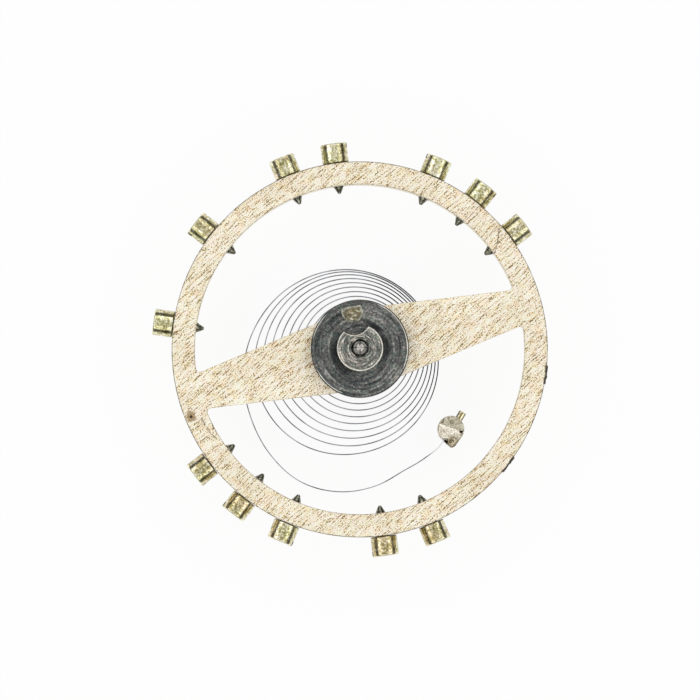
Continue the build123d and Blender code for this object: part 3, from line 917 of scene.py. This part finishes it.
def stud_metal():
    """Rough nickel-coloured stud with brown dirt towards its narrow end, painted shade on its stepped half
    and in the notch and the chip, and a painted highlight along the step.
    """
    s = Shader("stud_metal")
    lumps = s.noise(10, 4, 0.7, 0.4)
    tone = s.blended((lumps, 0.5), (s.noise(26, 3, 0.7), 0.5))
    s.colour = s.ramp(
        tone,
        (0.38, (0.18, 0.15, 0.1)),
        (0.45, (0.54, 0.49, 0.38)),
        (0.53, (0.8, 0.74, 0.62)),
        (0.62, (1.0, 0.97, 0.88)),
    )
    ragged = s.uneven(lumps, 0.12)
    from_stud = s.vector_math("SUBTRACT", s.mm, stud_place)
    beyond = s.vector_math("DOT_PRODUCT", from_stud, way(stud_hole_angle + stud_step_turn))
    beyond = s.math("ADD", beyond, ragged)
    # painted shade: the stepped half beyond the step's edge is darker
    lower_half = s.step(beyond, stud_step_offset - 0.02, stud_step_offset + 0.03)
    s.lay(s.times((0.7, 0.7, 0.65)), lower_half)
    # painted highlight: a bright, patchy line along the step's edge
    step_edge = s.band(beyond, stud_step_offset - 0.055, stud_step_offset - 0.02, 0.015)
    patchy = s.step(s.noise(6, 3), 0.42, 0.56, 0.2, 0.85)
    s.lay((1.0, 0.96, 0.84), step_edge, patchy)

    def near(place, radius):
        distance = s.distance(at_level(place, 0), s.flat)
        return s.step(s.math("ADD", distance, ragged), radius, radius * 0.6)

    tip = stud_place + way(stud_hole_angle + stud_tip_angle) * stud_tip_distance
    spots = s.step(s.noise(15, 3), 0.45, 0.53)
    s.lay((0.4, 0.31, 0.17), near(tip, 0.2), 0.45)
    s.lay((0.11, 0.078, 0.028), near(tip, 0.22), spots, 0.85)
    # painted shade: dark in the notch at the pin hole's mouth and in the chip
    mouth = stud_pin_place + way(stud_hole_angle) * (stud_mouth + stud_notch_depth * 0.4)
    chip = Vector((*stud_chip_place, 0)) + way(stud_chip_angle) * stud_chip_width * 1.3
    for place, radius in ((mouth, stud_notch_width * 0.62), (chip, stud_chip_width * 0.9)):
        s.lay((0.018, 0.015, 0.01), near(place, radius), 0.95)
    return s.metal(s.step(tone, 0.36, 0.6, 0.46, 0.32), s.bump(tone, 0.02))


def floor_white():
    """White floor: camera and reflections see it bright, its shadow kept; from below it isn't there."""
    s = Shader("floor_white")
    light = s.add("ShaderNodeLightPath").outputs
    seen = s.math("ADD", light["Is Camera Ray"], light["Is Glossy Ray"])
    seen = s.math("ADD", seen, light["Is Transmission Ray"], clamp=True)
    paper = s.add("ShaderNodeBsdfDiffuse", {"Color": (0.9, 0.9, 0.9, 1)}).outputs[0]
    shown = s.add("ShaderNodeMixShader", {0: s.both(seen, 0.91), 1: paper, 2: s.glow()}).outputs[0]
    hidden = s.both(s.add("ShaderNodeNewGeometry").outputs["Backfacing"], light["Is Camera Ray"])
    clear = s.add("ShaderNodeBsdfTransparent").outputs[0]
    return s.finish(s.add("ShaderNodeMixShader", {0: hidden, 1: shown, 2: clear}).outputs[0])


def backdrop_white():
    """Plain white all round, for the camera alone."""
    s = Shader("backdrop_white")
    return s.finish(s.glow())


# Pieces


def arm_outline():
    """Both arms in one outline, with a small fillet where each side meets the rim."""
    end = Vector((rim_inner_radius, arm_half_width_at_rim))
    middle = Vector((0, arm_half_width_at_staff))
    slope = (end - middle).normalized()
    outwards = Vector((-slope.y, slope.x))
    # the fillet's centre is a fillet away from the arm's side and from the rim's inner wall
    offset = middle.dot(outwards) + arm_rim_fillet
    reach = math.sqrt((rim_inner_radius - arm_rim_fillet) ** 2 - offset**2)
    centre = outwards * offset + slope * reach
    on_side = centre - outwards * arm_rim_fillet
    on_rim = centre.normalized() * rim_inner_radius
    first, last = (math.degrees(math.atan2(*(point - centre).yx)) for point in (on_side, on_rim))
    buried = centre.normalized() * (rim_inner_radius + arm_overlap)
    # the straight side has points from beside the middle to just before the fillet
    places = np.linspace(0.15, on_side.x * 0.97, 12)
    side = [(x, middle.y - (middle.y - end.y) * x / end.x) for x in places]
    fillet = arc(centre, arm_rim_fillet, first, last, 10)
    quarter = [(arm_middle_reach, middle.y - arm_middle_drop), *side, *fillet, tuple(buried)]
    right_down = [(x, -y) for x, y in quarter]
    left_down = [(-x, -y) for x, y in quarter]
    left_up = [(-x, y) for x, y in quarter]
    return quarter[::-1] + left_up + left_down[::-1] + right_down


def make_wheel():
    """Rim and arms in one piece, with fourteen tapped holes."""
    low, high = wheel_low.z, wheel_high.z
    rim = ring("wheel_brass_piece", rim_inner_radius, rim_radius, low, high, rim_edge, sides=288)
    cut(rim, prism("arms", arm_outline(), high - arm_thickness, high, arm_edge), "UNION")
    for step in empty_hole_steps:
        cut(rim, at_hole(make_burr(step), step, rim_radius), "UNION")
    steps = screw_steps + empty_hole_steps
    holes = [at_hole(hole_cutter(step in empty_hole_steps), step, 0) for step in steps]
    return cut(rim, joined("holes", holes))


def make_burr(seed):
    """Uneven lip about +Z, thrown up round the mouth of an empty tapped hole."""
    sides, around = 72, 8
    lump_scale, mean_height, height_spread = 2.5, 0.75, 0.5
    vertices = []
    for k in range(sides):
        outwards = way(360 * k / sides)
        uneven = mean_height + height_spread * noise.noise(at_level(outwards * lump_scale, seed))
        for j in range(around):
            turn = 2 * math.pi * j / around
            reach = burr_radius + burr_reach * math.cos(turn)
            vertices.append(outwards * reach + UP * burr_reach * uneven * math.sin(turn))
    return new_object("burr", vertices, quads(sides, around, closed_rows=True, flipped=True))


def hole_cutter(threaded):
    """Cutter for one tapped hole along +Z, with a small countersink at both ends."""
    inner, outer, clear = rim_inner_radius, rim_radius, hole_countersink
    flare = clear / 2 if threaded else 2 * clear
    profile = [(0, inner - clear), (thread_radius + 2 * clear, inner - clear), (thread_radius, inner + clear)]
    for turn in range(int((outer - inner - 2 * clear) / thread_pitch) if threaded else 0):
        height = inner + clear + thread_pitch * turn
        profile.append((thread_radius - thread_depth, height + thread_pitch * 0.5))
        profile.append((thread_radius, height + thread_pitch))
    profile += [(thread_radius, outer - clear), (thread_radius + flare, outer + clear), (0, outer + clear)]
    return lathe("hole", profile, sides=48)


def make_screw(name):
    """One balance screw about +Z, its head's seat at the origin: head, slot, thread and point."""
    radius, length, edge = screw_head_radius, screw_head_length, screw_edge
    profile = [
        (0, screw_seat_groove), (thread_radius + screw_seat_margin, screw_seat_groove), (radius - edge, 0),
        (radius, edge), (radius, length - edge), (radius - edge, length), (0, length),
    ]
    head = lathe("head", rounded(profile, screw_rounding), sides=96)
    reach, half = radius * 1.2, screw_slot_width / 2
    cut(head, box("slot", (-reach, -half, length - screw_slot_depth), (reach, half, length + half)))
    return joined(name, [head, threaded_shank()])


def threaded_shank():
    """The screw's thread below its head, cut as one helix, ending in a short blunt point."""
    tip = -rim_width - screw_tip_reach
    blunt_end, top = screw_edge / 2, screw_seat_groove * 1.5
    thread_flank, thread_fade = 0.8, 6
    sides, rows = 40, 110
    vertices = [(0, 0, tip)]
    for row in range(rows + 1):
        height = tip + blunt_end + (top - tip - blunt_end) * row / rows
        share = min(1, (height - tip) / (-rim_width + thread_pitch - tip))
        cone = screw_tip_radius + (thread_radius - screw_tip_radius) * share
        for k in range(sides):
            phase = (height / thread_pitch - k / sides) % 1
            depth = thread_depth * (1 - abs(2 * phase - 1)) ** thread_flank * share**thread_fade
            vertices.append(way(360 * k / sides) * (cone - depth) + UP * height)
    faces = [[0, 1 + (k + 1) % sides, 1 + k] for k in range(sides)]
    faces += quads(rows + 1, sides, start=1)
    faces.append([1 + rows * sides + k for k in range(sides)])
    return new_object("shank", vertices, faces)


def make_screws(material):
    """The twelve balance screws, each replacing its own node."""
    for number, (step, slot_angle) in enumerate(zip(screw_steps, screw_slot_angles), start=1):
        screw = make_screw(f"screw_{number:02d}_turned")
        # the material's noise is taken at a place of its own for each screw
        places = screw.data.attributes.new("screw_place", "FLOAT_VECTOR", "POINT")
        shifted = np.array([tuple(v.co) for v in screw.data.vertices]) + (3 * number, 0, 0)
        places.data.foreach_set("vector", shifted.ravel())
        screw.data.transform(spin(slot_angle))
        at_hole(screw, step, rim_radius)
        place_piece(screw, material, f"balance_screw_{number:02d}")


def make_staff():
    """The staff in one turning, with trumpet-shaped pivots."""
    cock_root = pivot_length + pivot_root
    cock_top = cock_root + cock_arbor_length
    arm_low = wheel_high.z - arm_thickness
    rivet_low = arm_low - rivet_height
    hub_low, hub_top = wheel_high.z - hub_overlap, wheel_high.z + hub_height
    top = staff_high.z
    dial_root = top - pivot_length - pivot_root
    seat_top = dial_root - dial_arbor_length
    flare = pivot_radius + pivot_flare
    profile = [
        (0, 0), (pivot_radius, 0), (pivot_radius, pivot_length),
        (flare, pivot_length + pivot_root * pivot_root_bend),
        (cock_arbor_radius, cock_root), (cock_arbor_radius, cock_top),
        (collet_seat_radius, cock_top), (collet_seat_radius, rivet_low + rivet_lead),
        ((collet_seat_radius + wheel_seat_radius) / 2, rivet_low), (wheel_seat_radius, rivet_low),
        (rivet_radius, arm_low), (wheel_seat_radius, arm_low), (wheel_seat_radius, hub_low),
        (hub_radius, hub_low), (hub_radius, hub_top),
        (roller_seat_radius, hub_top), (roller_seat_radius, seat_top),
        (dial_arbor_foot, seat_top), (dial_arbor_radius, dial_root),
        (flare, dial_root + pivot_root * (1 - pivot_root_bend)),
        (pivot_radius, dial_root + pivot_root), (pivot_radius, top), (0, top),
    ]
    return lathe("staff_turned", rounded(profile, staff_edge))


def make_roller():
    """Table roller, neck and safety roller, with the crescent and the recess round the bore."""
    low, high, bore = roller_low.z, roller_high.z, roller_seat_radius
    safety_low = high - safety_thickness
    neck_top = safety_low + neck_overlap
    corners = [
        (table_radius - table_chamfer, low), (table_radius, low + table_chamfer),
        (table_radius, table_top - roller_edge), (table_radius - roller_edge, table_top),
        (neck_radius, table_top), (neck_radius, neck_top), (bore, neck_top), (bore, low),
    ]
    body = hollow("roller_turned", corners, table_radius / 2, roller_edge * 0.45, sides=216)

    share = crescent_distance**2 + safety_radius**2 - crescent_radius**2
    horn = math.degrees(math.acos(share / (2 * crescent_distance * safety_radius)))
    horn_point = way(horn) * safety_radius
    bite = math.degrees(math.atan2(horn_point.y, horn_point.x - crescent_distance))
    outline = arc((0, 0), safety_radius, horn, 360 - horn, 150)
    outline += arc((crescent_distance, 0), crescent_radius, 360 - bite, bite, 60)[1:-1]
    safety = prism("safety", outline, safety_low, high, roller_edge, 4)
    mouth, floor = recess_mouth, high - recess_depth
    opening = [
        (0, safety_low - mouth), (bore, safety_low - mouth), (bore, floor),
        (recess_radius, floor), (recess_radius, high - mouth),
        (recess_radius + mouth, high + mouth * 0.2), (recess_radius + mouth, high + mouth), (0, high + mouth),
    ]
    cut(safety, lathe("opening", opening, sides=96))
    safety.data.transform(spin(roller_angle))
    return joined("roller_turned", [body, safety])


def jewel_outline(margin, steps):
    """D outline of the jewel with its flat away from the staff, about the staff's own axis."""
    radius, flat = jewel_radius + margin, jewel_flat + margin
    corner = math.degrees(math.acos(flat / radius))
    curve = arc((jewel_distance, 0), radius, corner, 360 - corner, steps)
    straight = np.linspace(curve[-1][1], curve[0][1], steps // 3)[1:-1]
    return curve + [(jewel_distance + flat, y) for y in straight]


def make_jewel():
    """D-shaped impulse jewel."""
    jewel = prism("jewel_cut", jewel_outline(0, 48), jewel_low.z, jewel_high.z, jewel_edge, 3)
    jewel.data.transform(spin(roller_angle))
    return jewel


def make_shellac():
    """Uneven bead of shellac round the foot of the jewel."""
    # the bead's slope: shares of its width outwards and of its rise
    slope = ((0, 1.0), (0.12, 0.93), (0.35, 0.62), (0.62, 0.34), (0.85, 0.14), (1.0, 0.0))
    outline = jewel_outline(shellac_margin, 90)

    def uneven(x, y, spread, per_mm, seed):
        return 1 + spread * noise.noise(Vector((x * per_mm, y * per_mm, seed)))

    vertices = []
    for (x, y), (far_x, far_y) in zip(outline, inset_outline(outline, -1)):
        width = shellac_width * uneven(x, y, spread=0.35, per_mm=9, seed=3)
        rise = shellac_rise * uneven(x, y, spread=0.5, per_mm=14, seed=8)
        for out, up in slope:
            place = Vector((x, y, 0)).lerp(Vector((far_x, far_y, 0)), out * width)
            vertices.append(at_level(place, table_top + rise * up + shellac_gap))
    faces = quads(len(outline), len(slope), closed_rows=True, closed=False)
    bead = new_object("shellac_bead", vertices, faces)
    bead.data.transform(spin(roller_angle))
    return bead


def pin_hole(sides):
    """Cutter for the round hole of the strip and its pin, along +Z."""
    return rod("hole", pin_hole_radius, -1, 1, sides)


def make_collet():
    """Split collet with the cross hole for the spring and its pin."""
    low, high = collet_low.z, collet_high.z
    collet = ring("collet_turned", collet_seat_radius, collet_radius, low, high, collet_edge)
    slit = box("slit", (0, -collet_slit / 2, low - 1), (1, collet_slit / 2, high + 1))
    slit.data.transform(spin(collet_angle + collet_slit_angle))
    cut(collet, slit)
    return cut(collet, turned(pin_hole(64), way(collet_angle), collet_pin_place))


def make_pin(name, angle, place, side, ends, flat):
    """Round pin along its hole between two ends, flat where it presses on the strip."""
    pin = rod(name, pin_radius, *ends, 64, pin_edge)
    cut(pin, box("flat", (-1, pin_flat, flat[0]), (1, 1, flat[1])))
    return turned(pin, way(angle), place, side)


def make_collet_pin():
    """Pin of the spring's inner end."""
    wall = math.sqrt(collet_radius**2 - collet_hole_distance**2)
    last = wall - collet_pin_setback
    ends, flat = (-wall - collet_pin_proud, last), (-collet_strip_half, last + pin_edge)
    return make_pin("collet_pin_turned", collet_angle, collet_pin_place, way(collet_angle - 90), ends, flat)


def make_stud_pin():
    """Pin of the spring's outer end, standing out of the stud."""
    first = stud_mouth + stud_pin_setback
    ends, flat = (first, stud_radius + stud_pin_proud), (first - pin_edge, stud_radius)
    return make_pin("stud_pin_turned", stud_hole_angle, stud_pin_place, way(stud_hole_angle + 90), ends, flat)


def make_stud():
    """Rough stud block, round with a narrower end, with a step, the pin hole and a post."""
    lean = math.degrees(stud_flat_lean)
    centre_to_tip = way(stud_tip_angle) * stud_tip_distance
    outline = arc((0, 0), stud_radius, stud_tip_angle + lean, stud_tip_angle + 360 - lean, 72)
    outline += arc(centre_to_tip, stud_tip_radius, stud_tip_angle - lean, stud_tip_angle + lean, 20)
    top, low = stud_high.z, stud_high.z - stud_block_length
    to_stud = Matrix.Translation(at_level(stud_place, 0))
    block = prism("block", outline, low, top, stud_edge, 3)
    step = box("step", (0, -1, top - stud_step_depth), (1, 1, top + 1))
    step.data.transform(Matrix.Translation((stud_step_offset, 0, 0)) @ spin(stud_step_turn))
    cut(block, step)
    block.data.transform(spin(stud_hole_angle))
    block.data.transform(to_stud)
    half = stud_chip_width / 2
    chip = box("chip", (0, -half, top - stud_chip_depth), (1, half, top + 1))
    cut(block, turned(chip, UP, (*stud_chip_place, 0), way(stud_chip_angle + 90)))

    # the skin is worn inwards by large and small lumps, so the stud stays inside its solid
    with_modifier(block, "REMESH", mode="VOXEL", voxel_size=stud_voxel)
    # of each size of lump: how many per millimetre, its octaves and its share
    lumps = ((5, 4, 0.6), (19, 3, 0.4))
    weaker, closer, kept = 0.8, 2.2, 0.2
    for vertex, normal in zip(block.data.vertices, block.data.vertex_normals):
        level = sum(
            noise.fractal(vertex.co * per_mm, weaker, closer, octaves) * share
            for per_mm, octaves, share in lumps
        )
        vertex.co = vertex.co + normal.vector * stud_roughness * min(0.0, level - kept)

    half = stud_notch_width / 2
    notch = box("notch", (-half, -half, stud_mouth - 1), (half, 1, stud_mouth + stud_notch_depth))
    for cutter in (pin_hole(48), notch):
        cut(block, turned(cutter, way(stud_hole_angle), stud_pin_place))
    post = rod("post", stud_post_radius, stud_low.z, low + stud_post_overlap, 96, stud_edge, 4)
    post.data.transform(to_stud)
    return joined("stud_rough", [block, post])


def coil_turn_angle(turn):
    """Angle of the coil after a number of turns from the collet."""
    return coil_end_angle + 360 * (turn - coil_turns)


def coil_point(turn):
    """Point of the coil: a steady spiral whose centre drifts towards one side."""
    drift = coil_drift * (turn / coil_turns) ** coil_drift_power
    radius = coil_inner_radius + coil_pitch * turn
    return way(coil_turn_angle(turn)) * radius + way(coil_drift_angle) * drift


def coil_way(turn):
    """Direction of the coil at a turn."""
    small = 1e-4
    return (coil_point(turn + small) - coil_point(turn - small)).normalized()


def curve_between(start, start_way, end, end_way):
    """Smooth curve between two points along their directions, the first left out."""
    chord = (end - start).length
    turning = max(start_way.angle(end_way), 1e-3)
    pull = chord * 2 * math.tan(turning / 4) / math.sin(turning / 2)
    count = max(2, round(chord / strip_step))
    points = []
    for k in range(1, count + 1):
        t = k / count
        points.append(
            start * (2 * t**3 - 3 * t**2 + 1)
            + start_way * pull * (t**3 - 2 * t**2 + t)
            + end * (3 * t**2 - 2 * t**3)
            + end_way * pull * (t**3 - t**2)
        )
    return points


def spring_line():
    """Centre line of the strip from its pinned inner end to its pinned outer end."""
    hole_ahead = way(collet_angle)
    pinned = way(collet_angle - 90) * collet_strip_distance
    inner_end = pinned - hole_ahead * (collet_strip_half - strip_setback)
    leaves = pinned + hole_ahead * (collet_strip_half + strip_lead)
    last_turn = coil_turns - coil_last_turn_left
    coiled = last_turn - coil_first_turn
    samples = round(coiled * coil_samples_per_turn)
    points = [inner_end.lerp(leaves, k / pinned_samples) for k in range(pinned_samples + 1)]
    points += curve_between(leaves, hole_ahead, coil_point(coil_first_turn), coil_way(coil_first_turn))
    points += [coil_point(coil_first_turn + coiled * k / samples) for k in range(1, samples + 1)]

    hole_ahead = way(stud_hole_angle)
    pinned = at_level(stud_pin_place, 0) + way(stud_hole_angle + 90) * pinning_offset
    enters = pinned + hole_ahead * (stud_mouth - strip_lead)
    outer_end = pinned + hole_ahead * (stud_radius - strip_setback)
    lift = enters.length - coil_point(coil_turns + tail_entry_turn).length
    route = [coil_point(last_turn)]
    for turn, share in tail_shares:
        route.append(coil_point(coil_turns + turn) + way(coil_turn_angle(coil_turns + turn)) * share * lift)
    route.append(enters)
    ways = [coil_way(last_turn)]
    for before, here, after in zip(route, route[1:], route[2:]):
        back, ahead = here - before, after - here
        ways.append((back * ahead.length_squared + ahead * back.length_squared).normalized())
    ways.append(hole_ahead)
    for start, start_way, end, end_way in zip(route, ways, route[1:], ways[1:]):
        points += curve_between(start, start_way, end, end_way)
    points += [enters.lerp(outer_end, k / pinned_samples) for k in range(1, pinned_samples + 1)]
    return np.array([tuple(p) for p in points])


def make_spring(material):
    """Hairspring strip between the collet and the stud.
    """
    line = spring_line()
    ahead = np.gradient(line, axis=0)
    ahead /= np.linalg.norm(ahead, axis=1)[:, None]
    side = np.stack([ahead[:, 1], -ahead[:, 0], np.zeros(len(line))], axis=1) * strip_thickness / 2
    upwards = np.array((0, 0, strip_height / 2))
    centre = line + (0, 0, spring_level)
    corners = [centre + side * a + upwards * b for a, b in ((1, -1), (1, 1), (-1, 1), (-1, -1))]
    coiled = np.stack(corners, axis=1).reshape(-1, 3) * MM

    # the pinned ends don't turn against what holds them; the free length between takes up the turn
    length = np.concatenate([[0], np.cumsum(np.linalg.norm(np.diff(line, axis=0), axis=1))])
    held = 2 * collet_strip_half
    free = length[-1] - held - stud_radius * 2
    moving_share = np.clip(1 - (length - held) / free, 0, 1)
    laid_out = 0.5 - np.sin(np.arcsin(1 - 2 * moving_share) / 3)
    straight = np.zeros((len(line), 4, 3))
    straight[:, :, 0] = laid_out[:, None]

    last_row = 4 * (len(line) - 1)
    faces = [[3, 2, 1, 0], [last_row + k for k in range(4)], *quads(len(line), 4)]
    strip = new_object("hairspring_strip", straight.reshape(-1, 3), faces)
    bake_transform(strip)
    strip.data.vertices.foreach_set("co", coiled.astype(np.float32).ravel())
    strip.data.update()
    dress(strip, material, 40)
    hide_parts("hairspring")


# Stage


def make_stage():
    """White floor under the object and a white backdrop that only the camera sees."""
    sides = 96
    floor_level = cad_low.z / MM - floor_gap
    around = arc((0, 0), floor_radius, 0, 360, sides)[:-1]
    floor = new_object("floor", [(x, y, floor_level) for x, y in around], [list(range(sides))])
    backdrop = lathe("backdrop", arc((0, 0), backdrop_radius, -90, 90, 24), sides=48)
    for obj, material in ((floor, floor_white()), (backdrop, backdrop_white())):
        obj.data.transform(Matrix.Scale(MM, 4))
        obj.data.materials.append(material)
    for rays in ("diffuse", "glossy", "transmission", "shadow"):
        setattr(backdrop, f"visible_{rays}", False)


def make_light():
    """Soft ring of light round the camera, dimmer overhead and at the horizon, as in a light tent."""
    world = bpy.data.worlds.new("light_tent")
    bpy.context.scene.world = world
    n = Nodes(world)
    direction = n.add("ShaderNodeTexCoord").outputs["Generated"]
    from_top = n.math("DIVIDE", n.math("ARCCOSINE", n.axis(direction, "Z")), math.pi)
    brightness = n.ramp(from_top, *((degrees / 180, (level,) * 3) for degrees, level in light_levels))
    background = n.add("ShaderNodeBackground", {"Color": brightness, "Strength": light_strength})
    n.add("ShaderNodeOutputWorld", {"Surface": background.outputs["Background"]})


def make_camera():
    """Camera at the photo's angle, looking straight down on the wheel with a slight tilt."""
    right, upwards = way(-photo_turn), way(90 - photo_turn)
    off_right = (photo_size / 2 - photo_wheel_centre[0]) / photo_pixels_per_mm
    off_up = (photo_wheel_centre[1] - photo_size / 2) / photo_pixels_per_mm
    target = right * off_right + upwards * off_up + UP * wheel_high.z
    side, down = (math.tan(math.radians(tilt)) for tilt in (camera_tilt_side, camera_tilt_down))
    back = (UP + (right * -side - upwards * down)).normalized()
    distance = photo_size / photo_pixels_per_mm / sensor_width * camera_lens
    camera = bpy.data.objects.new("camera", bpy.data.cameras.new("camera"))
    bpy.context.scene.collection.objects.link(camera)
    camera.data.lens = camera_lens
    camera.data.sensor_width = sensor_width
    camera.data.clip_start = distance * MM * 0.1
    camera.data.clip_end = backdrop_radius * 3 * MM
    x_axis = upwards.cross(back).normalized()
    turn = Matrix((x_axis, back.cross(x_axis), back)).transposed().to_4x4()
    camera.matrix_world = Matrix.Translation((target + back * distance) * MM) @ turn
    bpy.context.scene.camera = camera


make_light()
make_camera()
make_stage()

pins = pin_brass()
place_piece(make_wheel(), wheel_brass(), "balance_wheel")
make_screws(screw_brass())
place_piece(make_staff(), staff_steel(), "balance_staff")
place_piece(make_roller(), roller_steel(), "double_roller")
place_piece(make_jewel(), jewel_ruby(), "impulse_jewel")
place_piece(make_shellac(), pale_shellac(), "jewel_shellac", 80)
place_piece(make_collet(), collet_brass(), "hairspring_collet")
place_piece(make_collet_pin(), pins, "collet_pin")
make_spring(spring_steel())
place_piece(make_stud(), stud_metal(), "hairspring_stud", 50, body="stud")
place_piece(make_stud_pin(), pins, "stud_pin", body="stud")

bpy.context.scene.view_settings.view_transform = "Standard"
